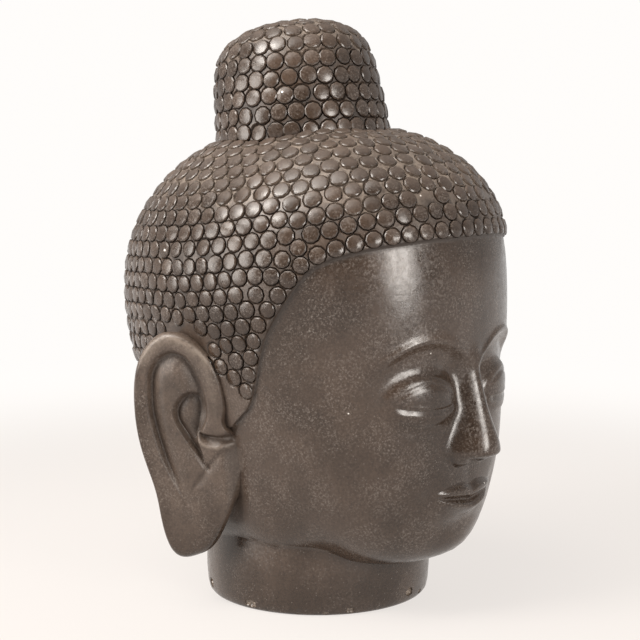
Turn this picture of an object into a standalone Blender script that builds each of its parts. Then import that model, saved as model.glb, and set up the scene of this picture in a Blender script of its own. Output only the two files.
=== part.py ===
"""Stone Buddha head, carved from one block: hair mass, topknot, face, long ears and a short neck.

Metres, +Z up, the face looks along -Y, and the origin is the middle of the flat underside.
"""

import math

import bmesh
import bpy
import numpy as np

MM = 0.001

# Driving dimensions, in millimetres where they are used with MM
SKULL_MIDDLE = 150  # height of the point that the skull's profiles turn about
HAIRLINE = 206  # height of the hair's edge over the middle of the forehead
CHIN = 28
HAIR_STEP = 2.2  # how far the hair stands out from the skin

UNDERSIDE = 0.128  # share added to the skull's reach below and behind the jaw
NECK_RADIUS = 63.2
NECK_TOP = 64  # the neck's end, inside the skull

TOPKNOT_BASE = (0, 10, 252)
TOPKNOT_LEAN = math.radians(10)  # its axis leans back

EAR_ROOT = 76  # distance of the ear's front edge from the head's middle, at the height EAR_LEVEL
EAR_LEVEL = 80
EAR_LEAN = 0.165  # how much further out the ear's top is, per unit of height
EAR_SETBACK = 8  # the ear's front edge is this far in front of the head's middle
EAR_FLARE = math.radians(25)  # how far the ear's back edge turns out from the head's side
EAR_MIDDLE = (25.6, 94.3)  # behind the front edge, and height
EAR_THICK = 4.5  # from the ear's plane out to its face
EAR_NOTCH = 4.4  # how far its front edge runs back, beside the middle of the ear

# The canon divides the face, from hairline to chin, into three equal parts.
FACE_THIRD = (HAIRLINE - CHIN) / 3
BROW = HAIRLINE - FACE_THIRD
NOSE_BASE = BROW - FACE_THIRD
EYE = BROW - 0.36 * FACE_THIRD
MOUTH = NOSE_BASE - FACE_THIRD / 3
EYE_WIDTH = 31  # a fifth of the head's width, and about the distance between the eyes
EYE_MIDDLE = 33

# Longest triangle edges: on the features, on the rest of the face, and on the hair
FEATURE_EDGE = 5.0
SKIN_EDGE = 10
HAIR_EDGE_LENGTH = 17


def spline(knots, values):
    """The natural cubic curve through (knot, value), as a function."""
    x, y = np.asarray(knots, float), np.asarray(values, float)
    h = np.diff(x)
    n = len(x)
    rows = np.eye(n)
    right = np.zeros(n)
    for i in range(1, n - 1):
        rows[i, i - 1 : i + 2] = h[i - 1], 2 * (h[i - 1] + h[i]), h[i]
        right[i] = 6 * ((y[i + 1] - y[i]) / h[i] - (y[i] - y[i - 1]) / h[i - 1])
    bend = np.linalg.solve(rows, right)

    def curve(at):
        at = np.clip(at, x[0], x[-1])
        i = np.clip(np.searchsorted(x, at) - 1, 0, n - 2)
        a, b = x[i + 1] - at, at - x[i]
        return (
            (bend[i] * a**3 + bend[i + 1] * b**3) / (6 * h[i])
            + (y[i] / h[i] - bend[i] * h[i] / 6) * a
            + (y[i + 1] / h[i] - bend[i + 1] * h[i] / 6) * b
        )

    return curve


def meridian(points):
    """The radius about the skull's middle, by elevation in degrees, of a profile of (reach, height)."""
    reach, height = np.array(points, float).T
    rise = np.degrees(np.arctan2(height - SKULL_MIDDLE, reach))
    order = np.argsort(rise)
    return spline(rise[order], np.hypot(reach, height - SKULL_MIDDLE)[order])


CROWN = (0, 260)
UNDER_JAW = (0, 26)
# fmt: off
FRONT = meridian([
    CROWN, (27.5, 259), (52.5, 255.5), (73.6, 247), (90, 234.3), (100.6, 218.5), (105.6, 202), (107.8, 185),
    (108.4, 165), (107.8, 146), (106.4, 125), (104.8, 105), (103, 85), (100.4, 66), (97.5, 52), (93, 40.5),
    (84, 32), (70, 28.5), (45, 27), UNDER_JAW,
])
SIDE = meridian([
    CROWN, (27.3, 258.3), (50.2, 252.3), (67.1, 241.8), (80.4, 228), (89, 213), (93.6, 198), (94.9, 181.5),
    (93.2, 165), (89.8, 150), (86.2, 135), (83, 120), (79.8, 105), (75.8, 90), (70, 75), (62, 61), (52.5, 49),
    (41, 39), (25, 31), UNDER_JAW,
])
BACK = meridian([
    CROWN, (29, 257.2), (55.5, 249.5), (77.3, 237), (94.5, 220.4), (106.6, 201.5), (113, 181.5),
    (113.2, 162), (108.8, 140), (101.5, 120), (93.5, 100), (85, 82), (75, 66), (62, 52), (45, 41), (25, 32),
    UNDER_JAW,
])
# fmt: on


def ease(x, low, high):
    """0 below low, 1 above high, and a smooth climb between them."""
    t = np.clip((x - low) / (high - low), 0, 1)
    return t * t * (3 - 2 * t)


def hill(x, z, at, size):
    """1 at the point at, falling smoothly to nothing about twice size away."""
    return np.exp(-(((x - at[0]) / size[0]) ** 2) - ((z - at[1]) / size[1]) ** 2)


def dome(x, z, at, size, power=0.5):
    """A cap with a round rim of half-axes size about at, 1 high."""
    inside = 1 - ((x - at[0]) / size[0]) ** 2 - ((z - at[1]) / size[1]) ** 2
    return np.clip(inside, 0, 1) ** power


def skull(ways):
    """Points of the plain skull and jaw, in the directions ways from its middle."""
    turn = np.arctan2(ways[:, 0], ways[:, 1])
    rise = np.degrees(np.arctan2(ways[:, 2], np.hypot(ways[:, 0], ways[:, 1])))
    ahead, across = np.abs(np.cos(turn)), np.abs(np.sin(turn))
    fore_or_aft = np.where(ways[:, 1] < 0, FRONT(rise), BACK(rise))
    square = 2.12 + 0.22 * ease(-rise, -20, 15)
    radius = ((ahead / fore_or_aft) ** square + (across / SIDE(rise)) ** square) ** (-1 / square)
    # Fuller below the ears, so that the neck starts on an even line.
    behind = 180 - np.abs(np.degrees(turn))
    low = np.exp(-(((rise + 60) / 12) ** 2)) * ease(behind, 41, 80) * (1 - 0.35 * ease(behind, 95, 150))
    radius = radius * (1 + UNDERSIDE * low)
    return ways * radius[:, None] + (0, 0, SKULL_MIDDLE)


# The hair's edge on one side, as azimuth from the front in degrees and height
HAIR_EDGE = spline(
    [0, 19, 30, 37, 43, 49, 53, 57, 61, 67, 70, 73, 77.5, 84],
    [HAIRLINE, 205, 203, 201, 198.3, 194.5, 190, 182, 171.5, 153.5, 139, 124, 114, 105.5],
)
NAPE = 68  # height of the hair's edge at the back


def hair_cover(points):
    """1 on the hair and 0 on the skin, with the step between them."""
    azimuth = np.degrees(np.arctan2(np.abs(points[:, 0]), -points[:, 1]))
    edge = np.where(azimuth < 84, HAIR_EDGE(azimuth), 105.5 - (105.5 - NAPE) * ease(azimuth, 84, 125))
    return ease(points[:, 2] - edge, -0.8, 0.8)


def merge(one, two, round_by):
    """The higher of two reliefs, with the corner between them rounded."""
    near = np.maximum(1 - np.abs(one - two) / round_by, 0)
    return np.maximum(one, two) + near * near * round_by / 4


# The nose, by height from its base (0) to the brow (1): how far the ridge stands out, and half its width
NOSE_OUT = spline(
    [-0.08, 0, 0.05, 0.13, 0.24, 0.41, 0.62, 0.82, 0.95, 1.1, 1.4],
    [-22, -2, 12, 17.6, 16.4, 12.4, 7.8, 3.8, 1.4, -4, -20],
)
NOSE_HALF = spline([0, 0.13, 0.3, 0.52, 0.74, 0.94, 1.1], [7.5, 7.2, 5.2, 3.6, 3.2, 4.4, 6])
NOSE_ROUNDING = 1.6  # how far the ridge's middle is rounded over
BROW_ARCH = spline([0, 7, 16, 29, 43, 57, 68], np.array([-8, -3.6, 3, 6.8, 4.6, -4, -13]) + BROW)


def face_relief(x, z):
    """How far the features stand out from the plain face, by distance from its middle and height."""
    x = np.abs(x)
    under = BROW_ARCH(x) - z  # depth below the brow's edge
    side = ease(-x, -66, -44)

    # The socket is cut in under the brow, deepest beside the nose.
    relief = -4.2 * ease(under, -0.5, 7) * ease(-under, -36, -12) * side
    relief -= 3.2 * hill(x, z, (15.5, EYE + 5), (7.5, 11))
    relief += 1.1 * np.exp(-(((under + 1.2) / 2.0) ** 2)) * side
    relief += 2.4 * hill(x, z, (45, NOSE_BASE + 3), (24, 25))

    # The lowered lids are one egg-shaped swelling, parted by the line of the eye.
    along = (x - EYE_MIDDLE) / (EYE_WIDTH / 2)
    round_ball = 1 - ((x - EYE_MIDDLE) / 20.5) ** 2 - ((z - EYE + 2.2) / 13.2) ** 2
    ball = np.where(round_ball > 0, -3.6 + 6.4 * np.sqrt(np.maximum(round_ball, 0)), -3.6 + 9 * round_ball)
    relief = merge(relief, ball, 3.0 + 4.0 * ease(EYE - 3 - z, 0, 6))
    gap = z - (EYE - 6.2 + 1.5 * along**2 + 0.7 * along)
    opened = ease(1.12 - np.abs(along), 0, 0.4)
    relief -= 1.3 * opened * ease(-gap, -0.5, 0.5) * ease(gap, -6.5, -2.4)
    relief += 0.5 * opened * np.exp(-(((gap + 3.6) / 1.0) ** 2))
    fold = z - (EYE + 6.4 - 6 * along**2)
    relief -= 0.55 * np.exp(-((fold / 0.9) ** 2)) * ease(1.15 - np.abs(along), 0, 0.5)

    # The nose: a ridge with sloping sides, wings and a rounded tip
    up = (z - NOSE_BASE) / FACE_THIRD
    x_nose = np.hypot(x, NOSE_ROUNDING)
    away = x_nose - NOSE_HALF(up)
    nose = NOSE_OUT(up) - 1.75 * 2.0 * np.log1p(np.exp(np.clip(away / 2.0, -30, 30)))
    ridge = merge(relief, nose, 4)
    wing = 1 - ((x_nose - 10.6) / 7.2) ** 2 - ((z - NOSE_BASE - 5.6) / 7.4) ** 2
    wing = np.where(wing > 0, 9.6 * np.sqrt(np.maximum(wing, 0)), 12 * wing) - 0.6
    relief = merge(ridge, wing, 3)

    # The mouth, on a low swelling
    relief += 3.4 * hill(x, z, (0, MOUTH - 1), (29, 20))
    relief -= 1.3 * hill(x, z, (0, NOSE_BASE - 7), (3.2, 6))
    relief += 0.5 * hill(x, z, (4.6, NOSE_BASE - 8), (1.8, 6))
    line = MOUTH + 0.2 - 1.2 * np.exp(-((x / 3.4) ** 2)) + 3.6 * (x / 25) ** 2
    rise = z - line
    reach = np.clip(1 - (x / 25.5) ** 2, 0, 1)
    bow = 8.2 * reach**0.9 - 1.5 * np.exp(-((x / 2.8) ** 2)) + 0.01
    fall = 9.4 * np.clip(1 - (x / 21.5) ** 2, 0, 1) ** 0.75 + 0.01
    upper = np.sqrt(np.clip(1 - ((rise / bow - 0.25) / 0.77) ** 2, 0, 1)) * ease(rise, -1.2, 0.2)
    lower = np.sqrt(np.clip(1 - ((-rise / fall - 0.42) / 0.62) ** 2, 0, 1)) * ease(-rise, -1.2, 0.2)
    relief += np.maximum(2.7 * upper * reach**0.5, 3.5 * lower * np.clip(1 - (x / 22) ** 2, 0, 1) ** 0.5)
    relief -= 1.5 * np.exp(-((rise / 0.9) ** 2)) * ease(28 - x, 0, 5)
    relief -= 1.5 * hill(x, z, (27, MOUTH + 4.4), (3.6, 4.2))
    relief -= 2.0 * hill(x, z, (0, MOUTH - 14), (15, 4.2))

    # The chin
    return relief + 3.4 * hill(x, z, (0, CHIN + 12), (15, 10))


def head_points(ways):
    """The head's surface in the directions ways: skull, hair step and face."""
    points = skull(ways)
    outward = ways / np.linalg.norm(ways, axis=1)[:, None]
    points += outward * (HAIR_STEP * hair_cover(points))[:, None]
    facing = ease(-points[:, 1], 35, 62) * ease(points[:, 2], CHIN - 4, CHIN + 8)
    relief = face_relief(points[:, 0], points[:, 2]) * facing
    points[:, 1] -= relief
    return points


def triangle_size(place):
    """The longest edge allowed at a place on the head: small on the features, larger on the hair."""
    x, y, z = place
    if y < -55 and abs(x) < 58 and MOUTH - 16 < z < BROW + 12:
        return FEATURE_EDGE
    if y < -35 and z < HAIRLINE + 6:
        return SKIN_EDGE
    return HAIR_EDGE_LENGTH


def unit_sphere():
    """A ball of directions, split until its edges on the skull are short enough."""
    bm = bmesh.new()
    bmesh.ops.create_icosphere(bm, subdivisions=3, radius=1)
    for _ in range(9):
        bm.verts.index_update()
        places = skull(np.array([v.co.normalized() for v in bm.verts]))
        long = []
        for edge in bm.edges:
            one, two = (places[v.index] for v in edge.verts)
            if np.linalg.norm(one - two) > triangle_size((one + two) / 2):
                long.append(edge)
        if not long:
            break
        bmesh.ops.subdivide_edges(bm, edges=long, cuts=1, use_grid_fill=True)
        bmesh.ops.triangulate(bm, faces=bm.faces, quad_method="BEAUTY", ngon_method="BEAUTY")
        for vertex in bm.verts:
            vertex.co.normalize()
    return bm


def set_points(mesh, points):
    mesh.vertices.foreach_set("co", np.asarray(points, np.float32).ravel())
    mesh.update()


def get_points(mesh):
    points = np.empty(len(mesh.vertices) * 3, np.float32)
    mesh.vertices.foreach_get("co", points)
    return points.reshape(-1, 3).astype(float)


def new_object(name, bm):
    mesh = bpy.data.meshes.new(name)
    bm.to_mesh(mesh)
    bm.free()
    made = bpy.data.objects.new(name, mesh)
    bpy.context.scene.collection.objects.link(made)
    return made


def make_skull(name):
    made = new_object(name, unit_sphere())
    ways = get_points(made.data)
    ways /= np.linalg.norm(ways, axis=1)[:, None]
    set_points(made.data, head_points(ways) * MM)
    return made


def spun(name, profile, segments):
    """A solid turned about Z from a profile of (radius, height) that starts and ends on the axis."""
    bm = bmesh.new()
    line = [bm.verts.new((r * MM, 0, z * MM)) for r, z in profile]
    edges = [bm.edges.new(pair) for pair in zip(line, line[1:])]
    bmesh.ops.spin(bm, geom=line + edges, cent=(0, 0, 0), axis=(0, 0, 1), angle=2 * math.pi,
                   steps=segments, use_merge=True)  # fmt: skip
    bmesh.ops.remove_doubles(bm, verts=bm.verts, dist=0.01 * MM)
    bmesh.ops.recalc_face_normals(bm, faces=bm.faces)
    return new_object(name, bm)


def make_topknot(name, segments=40):
    profile = [(0, -14), (48.5, -14), (48.4, 0), (47.9, 14), (46.5, 30), (45, 41), (42.6, 50), (38, 57.4),
               (30.5, 63), (20, 66.6), (9, 68.2), (0, 68.5)]  # fmt: skip
    made = spun(name, profile, segments)
    made.location = [c * MM for c in TOPKNOT_BASE]
    made.rotation_euler.x = -TOPKNOT_LEAN
    return made


def make_neck(name, segments=64):
    rim = 2.0  # the worn edge of the underside
    profile = [(0, 0), (NECK_RADIUS - rim, 0), (NECK_RADIUS - 0.4, rim), (NECK_RADIUS + 0.8, 14),
               (NECK_RADIUS + 0.6, 28), (NECK_RADIUS - 1, 46), (NECK_RADIUS - 6, NECK_TOP),
               (0, NECK_TOP)]  # fmt: skip
    return spun(name, profile, segments)


# The ear's outline: its distance from the ear's middle every 20 degrees, from straight back, down round the
# lobe, forward and over the top. The ear is half as wide as it is tall, so distances forward count double.
EAR_OUTLINE = (54.3, 50.8, 55, 69, 64, 58.4, 53.6, 52.3, 55.8, 57.3, 52, 58, 59.4, 59.4, 60.9, 61.8, 61.6, 58.1)
EAR_EDGE = spline(np.arange(-220, 221, 20), [EAR_OUTLINE[i % 18] for i in range(-2, 21)])
FOLD = [(17.4, 103.6), (14.3, 109.5), (13.2, 118), (14.5, 127.4), (17.1, 135.4), (21.7, 142.3), (27.9, 144.1),
        (34.8, 140.9), (39.9, 134.4), (42.4, 123.4), (43.2, 111.5), (41.7, 98.6), (39.5, 87.6), (36.2, 77.6),
        (32.7, 68.4), (29.4, 61)]  # fmt: skip
BOWL = [(15.9, 124.2), (20.5, 123.7), (26.1, 120.5), (30.1, 114.9), (30.8, 108.4), (28.1, 102.1), (24.4, 95),
        (19.8, 87.8), (16.3, 82.5)]  # fmt: skip


def from_line(u, v, line):
    """Signed distance from a line of points: positive on its left, walking along it."""
    best, side = np.full(u.shape, 1e9), np.zeros(u.shape)
    for (u0, v0), (u1, v1) in zip(line, line[1:]):
        du, dv = u1 - u0, v1 - v0
        t = np.clip(((u - u0) * du + (v - v0) * dv) / (du * du + dv * dv), 0, 1)
        off = np.hypot(u - u0 - t * du, v - v0 - t * dv)
        nearer = off < best
        best = np.where(nearer, off, best)
        side = np.where(nearer, np.sign(du * (v - v0) - dv * (u - u0)), side)
    return best * np.where(side == 0, 1, side)


def groove(u, v, line, left, right):
    """1 along a line, falling away over the width left on its left and right on its right."""
    off = from_line(u, v, line)
    return np.exp(-((off / np.where(off > 0, left, right)) ** 2))


def ear_relief(u, v):
    """How far the ear's folds stand out from its plate, by distance behind its front edge and height."""
    relief = -3.4 * groove(u, v, FOLD, 1.8, 4.5)
    relief -= 5.2 * groove(u, v, BOWL, 1.8, 4.5)
    relief += 1.6 * hill(u, v, (21, 110), (5, 9))
    relief -= 4.5 * dome(u, v, (8.2, 98.8), (10.5, 4.6), 0.8)
    return relief


def make_ear(name, side, segments=36):
    """One ear: a plate with its folds in front, and a wedge of stone behind that runs into the head."""
    front = (0.0, 0.16, 0.3, 0.42, 0.54, 0.64, 0.73, 0.81, 0.88, 0.94, 0.98)
    back = (1.0, 0.97, 0.8, 0.45, 0.0)
    rows, out = [], []
    for face, rings in ((1, front), (-1, back)):
        for ring in rings:
            count = 1 if ring == 0 else segments
            turn = np.arange(count) * 2 * np.pi / segments - np.pi
            reach = ring * 1.02 * EAR_EDGE(np.degrees(turn))
            u = EAR_MIDDLE[0] - reach * np.cos(turn) / 2
            v = EAR_MIDDLE[1] + reach * np.sin(turn)
            u = u + EAR_NOTCH * hill(u, v, (-2, 107), (6, 6.5))
            rim = math.sqrt(max(0, 1 - max(0, (ring - 0.9) / 0.1) ** 2))
            if face > 0:
                w = EAR_THICK * rim + ear_relief(u, v) * ease(0.99 - ring, 0, 0.05)
            else:
                wedge = 17 * ease(40 - u, 0, 34) * ease(v, 62, 92)
                w = -(4.5 + wedge) * rim
            rows.append(np.arange(count) + sum(len(o) for o in out))
            root = EAR_ROOT + (v - EAR_LEVEL) * EAR_LEAN
            x = root + u * math.sin(EAR_FLARE) + w * math.cos(EAR_FLARE)
            y = -EAR_SETBACK + u * math.cos(EAR_FLARE) - w * math.sin(EAR_FLARE)
            out.append(np.stack([side * x, y, v], axis=1))
    bm = bmesh.new()
    points = [bm.verts.new(p * MM) for p in np.concatenate(out)]
    for inner, outer in zip(rows, rows[1:]):
        for i in range(segments):
            j = (i + 1) % segments
            near = [inner[i % len(inner)], outer[i % len(outer)]]
            far = [outer[j % len(outer)], inner[j % len(inner)]]
            corners = list(dict.fromkeys(int(c) for c in near + far))
            bm.faces.new([points[c] for c in corners])
    bmesh.ops.triangulate(bm, faces=bm.faces)
    bmesh.ops.recalc_face_normals(bm, faces=bm.faces)
    return new_object(name, bm)


def stone():
    made = bpy.data.materials.new("dark_stone")
    made.use_nodes = True
    shader = made.node_tree.nodes["Principled BSDF"]
    shader.inputs["Base Color"].default_value = (0.105, 0.079, 0.064, 1)
    shader.inputs["Roughness"].default_value = 0.42
    shader.inputs["Metallic"].default_value = 0
    made.diffuse_color = (0.105, 0.079, 0.064, 1)
    return made


for leftover in list(bpy.data.objects):
    bpy.data.objects.remove(leftover)

head = make_skull("buddha_head")
head.data.materials.append(stone())
for helper in (
    make_neck("neck"),
    make_ear("right_ear", -1),
    make_ear("left_ear", 1),
    make_topknot("topknot"),
):
    helper.hide_render = True
    helper.display_type = "WIRE"
    helper.data.shade_smooth()
    helper.data.set_sharp_from_angle(angle=math.radians(40))
    union = head.modifiers.new(helper.name, "BOOLEAN")
    union.operation = "UNION"
    union.solver = "EXACT"
    union.object = helper
head.data.shade_smooth()
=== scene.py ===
import math
import random
import time

import bmesh
import bpy
import numpy as np
from mathutils import Matrix, Vector
from mathutils.bvhtree import BVHTree


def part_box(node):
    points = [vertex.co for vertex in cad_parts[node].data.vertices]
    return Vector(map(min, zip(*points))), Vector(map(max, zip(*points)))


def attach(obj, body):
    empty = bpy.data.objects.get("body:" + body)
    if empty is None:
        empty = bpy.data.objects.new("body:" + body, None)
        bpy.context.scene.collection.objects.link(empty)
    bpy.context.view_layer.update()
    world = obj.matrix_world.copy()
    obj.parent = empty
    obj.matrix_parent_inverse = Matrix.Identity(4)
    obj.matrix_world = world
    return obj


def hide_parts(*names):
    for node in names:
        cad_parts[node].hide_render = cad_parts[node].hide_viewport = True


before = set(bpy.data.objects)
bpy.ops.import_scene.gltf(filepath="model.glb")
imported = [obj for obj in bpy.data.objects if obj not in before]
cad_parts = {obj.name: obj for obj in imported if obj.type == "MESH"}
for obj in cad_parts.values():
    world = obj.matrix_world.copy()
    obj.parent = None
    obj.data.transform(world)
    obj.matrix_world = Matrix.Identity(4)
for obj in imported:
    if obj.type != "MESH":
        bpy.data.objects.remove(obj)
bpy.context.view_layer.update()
started = time.time()

# the head is shaped in millimetres as drawn, and unit turns those into metres of the frame
headLow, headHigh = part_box("buddha_head")
drawnHeight = 321.1
unit = (headHigh.z - headLow.z) / drawnHeight


def report(stage):
    print(f"{time.time() - started:6.1f} s  {stage}")


def makeCurve(knots, values):
    # a natural cubic through the points, held level past its ends
    x, y = np.asarray(knots, float), np.asarray(values, float)
    gap = np.diff(x)
    count = len(x)
    rows, right = np.eye(count), np.zeros(count)
    for i in range(1, count - 1):
        rows[i, i - 1 : i + 2] = gap[i - 1], 2 * (gap[i - 1] + gap[i]), gap[i]
        right[i] = 6 * ((y[i + 1] - y[i]) / gap[i] - (y[i] - y[i - 1]) / gap[i - 1])
    bend = np.linalg.solve(rows, right)

    def curve(at):
        at = np.clip(at, x[0], x[-1])
        i = np.clip(np.searchsorted(x, at) - 1, 0, count - 2)
        a, b = x[i + 1] - at, at - x[i]
        cubic = (bend[i] * a**3 + bend[i + 1] * b**3) / (6 * gap[i])
        straight = (y[i] / gap[i] - bend[i] * gap[i] / 6) * a
        straight += (y[i + 1] / gap[i] - bend[i + 1] * gap[i] / 6) * b
        return cubic + straight

    return curve


def ease(x, low, high):
    t = np.clip((x - low) / (high - low), 0, 1)
    return t * t * (3 - 2 * t)


def hill(x, z, at, size):
    return np.exp(-(((x - at[0]) / size[0]) ** 2) - ((z - at[1]) / size[1]) ** 2)


def merge(one, two, roundBy):
    # the higher of two reliefs, with the corner between them rounded
    near = np.maximum(1 - np.abs(one - two) / roundBy, 0)
    return np.maximum(one, two) + near * near * roundBy / 4


def fromLine(u, v, line):
    # signed distance from a line of points, positive on its left
    best, side = np.full(u.shape, 1e9), np.zeros(u.shape)
    for (u0, v0), (u1, v1) in zip(line, line[1:]):
        du, dv = u1 - u0, v1 - v0
        t = np.clip(((u - u0) * du + (v - v0) * dv) / (du * du + dv * dv), 0, 1)
        off = np.hypot(u - u0 - t * du, v - v0 - t * dv)
        nearer = off < best
        best = np.where(nearer, off, best)
        side = np.where(nearer, np.sign(du * (v - v0) - dv * (u - u0)), side)
    return best * np.where(side == 0, 1, side)


def smoothLine(points, closed=False):
    # a close line of points through the given ones
    points = np.array([*points, points[0]] if closed else points, float)
    along = np.concatenate([[0], np.cumsum(np.hypot(*np.diff(points, axis=0).T))])
    at = np.linspace(0, along[-1], 4 * len(points))
    return list(zip(makeCurve(along, points[:, 0])(at), makeCurve(along, points[:, 1])(at)))


def intoShape(u, v, line):
    # distance inside a closed line of points, negative outside it
    inside = np.zeros(u.shape, bool)
    for (u0, v0), (u1, v1) in zip(line, line[1:]):
        if v0 != v1:
            across = (v < v0) != (v < v1)
            inside ^= across & (u < u0 + (v - v0) * (u1 - u0) / (v1 - v0))
    return np.abs(fromLine(u, v, line)) * np.where(inside, 1, -1)


skull = {
    "middle": 150,  # height of the point that the profiles turn about
    "squareness": 2.12,
    "underside": 0.128,  # share added to the reach below and behind the jaw
    "front": [
        (0, 260), (27.5, 259), (52.5, 255.5), (73.6, 247), (90, 234.3), (100.6, 218.5),
        (105.6, 202), (107.8, 185), (108.4, 165), (107.8, 146), (106.4, 125), (104.8, 105),
        (103, 85), (100.4, 66), (97.5, 52), (93, 40.5), (84, 32), (70, 28.5), (45, 27), (0, 26),
    ],
    "side": [
        (0, 260), (27.3, 258.3), (50.2, 252.3), (67.1, 241.8), (80.4, 228), (89, 213), (93.6, 198),
        (94.9, 181.5), (93.2, 165), (89.8, 150), (86.2, 135), (83, 120), (79.8, 105), (75.8, 90),
        (70, 75), (62, 61), (52.5, 49), (41, 39), (25, 31), (0, 26),
    ],
    "back": [
        (0, 260), (29, 257.2), (55.5, 249.5), (77.3, 237), (94.5, 220.4), (106.6, 201.5),
        (113, 181.5), (113.2, 162), (108.8, 140), (101.5, 120), (93.5, 100), (85, 82), (75, 66),
        (62, 52), (45, 41), (25, 32), (0, 26),
    ],
}
hair = {
    "step": 2.2,  # how far the hair stands out from the skin
    "edge": 0.6,  # half the width of that step
    "middle": 206,  # height of its edge over the middle of the forehead
    "azimuth": [0, 19, 30, 37, 43, 49, 53, 57, 61, 67, 70, 73, 77.5, 84],
    "height": [206, 205, 203, 201, 198.3, 194.5, 190, 182, 171.5, 153.5, 139, 124, 114, 105.5],
    "nape": 68,
}


def meridian(points):
    reach, height = np.array(points, float).T
    rise = np.degrees(np.arctan2(height - skull["middle"], reach))
    order = np.argsort(rise)
    return makeCurve(rise[order], np.hypot(reach, height - skull["middle"])[order])


frontRadius, sideRadius, backRadius = (meridian(skull[side]) for side in ("front", "side", "back"))


def skullPoints(ways):
    turn = np.arctan2(ways[:, 0], ways[:, 1])
    rise = np.degrees(np.arctan2(ways[:, 2], np.hypot(ways[:, 0], ways[:, 1])))
    ahead, across = np.abs(np.cos(turn)), np.abs(np.sin(turn))
    foreOrAft = np.where(ways[:, 1] < 0, frontRadius(rise), backRadius(rise))
    square = skull["squareness"] + 0.22 * ease(-rise, -20, 15)
    radius = ((ahead / foreOrAft) ** square + (across / sideRadius(rise)) ** square) ** (-1 / square)
    behind = 180 - np.abs(np.degrees(turn))
    low = np.exp(-(((rise + 60) / 12) ** 2)) * ease(behind, 41, 80) * (1 - 0.35 * ease(behind, 95, 150))
    radius = radius * (1 + skull["underside"] * low)
    return ways * radius[:, None] + (0, 0, skull["middle"])


hairEdge = makeCurve(hair["azimuth"], hair["height"])


def hairEdgeHeight(azimuth):
    last = hair["height"][-1]
    behind = last - (last - hair["nape"]) * ease(azimuth, 84, 125)
    return np.where(azimuth < 84, hairEdge(azimuth), behind)


def intoHair(points):
    # distance from the hair's edge, positive on the hair
    azimuth = np.degrees(np.arctan2(np.abs(points[:, 0]), -points[:, 1]))
    reach = np.maximum(np.hypot(points[:, 0], points[:, 1]), 1)
    slope = (hairEdgeHeight(azimuth + 0.5) - hairEdgeHeight(azimuth - 0.5)) * 57.3 / reach
    return (points[:, 2] - hairEdgeHeight(azimuth)) / np.sqrt(1 + slope**2)


# the face is plain thirds of the height from hairline to chin, with eyes a fifth of its width
chin = 28
faceThird = (hair["middle"] - chin) / 3
brow = hair["middle"] - faceThird
noseBase = brow - faceThird
eyeLevel = brow - 0.36 * faceThird
mouthLevel = noseBase - faceThird / 3
face = {
    "eyeMiddle": 33,
    "eyeWidth": 31,
    "noseHeights": [-0.08, 0, 0.05, 0.13, 0.24, 0.41, 0.62, 0.82, 0.95, 1.1, 1.4],
    "noseOut": [-22, -2, 12, 17.6, 16.4, 12.4, 7.8, 3.8, 1.4, -4, -20],
    "noseRounding": 1.6,
    "browReach": [0, 7, 16, 29, 43, 57, 68],
    "browRise": [-8, -3.6, 3, 6.8, 4.6, -4, -13],
}
noseOut = makeCurve(face["noseHeights"], face["noseOut"])
noseHalf = makeCurve([0, 0.13, 0.3, 0.52, 0.74, 0.94, 1.1], [7.5, 7.2, 5.2, 3.6, 3.2, 4.4, 6])
browArch = makeCurve(face["browReach"], np.array(face["browRise"]) + brow)


def eyeRelief(x, z, relief):
    # lowered lids: one egg-shaped swelling, parted by the line of the eye
    middle = face["eyeMiddle"]
    along = (x - middle) / (face["eyeWidth"] / 2)
    inBall = 1 - ((x - middle) / 20.5) ** 2 - ((z - eyeLevel + 2.2) / 13.2) ** 2
    ball = np.where(inBall > 0, -3.4 + 5.8 * np.sqrt(np.maximum(inBall, 0)), -3.4 + 7 * inBall)
    relief = merge(relief, ball, 5.0 + 4.0 * ease(eyeLevel - 3 - z, 0, 6))
    gap = z - (eyeLevel - 6.2 + 1.5 * along**2 + 0.7 * along)
    opened = ease(1.12 - np.abs(along), 0, 0.4)
    relief -= 1.2 * opened * ease(-gap, -0.8, 0.8) * ease(gap, -7.5, -2.4)
    relief += 0.4 * opened * np.exp(-(((gap + 3.8) / 1.4) ** 2))
    fold = z - (eyeLevel + 6.4 - 6 * along**2)
    return relief - 0.5 * np.exp(-((fold / 1.2) ** 2)) * ease(1.15 - np.abs(along), 0, 0.5)


def noseRelief(x, z, relief):
    x = np.hypot(x, face["noseRounding"])
    up = (z - noseBase) / faceThird
    away = x - noseHalf(up)
    ridge = noseOut(up) - 3.4 * np.log1p(np.exp(np.clip(away / 2.4, -30, 30)))
    relief = merge(relief, ridge, 5)
    inWing = 1 - ((x - 10.2) / 7.6) ** 2 - ((z - noseBase - 5.8) / 7.6) ** 2
    wing = np.where(inWing > 0, 9.0 * np.sqrt(np.maximum(inWing, 0)), 9 * inWing) - 0.6
    return merge(relief, wing, 4.5)


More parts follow.
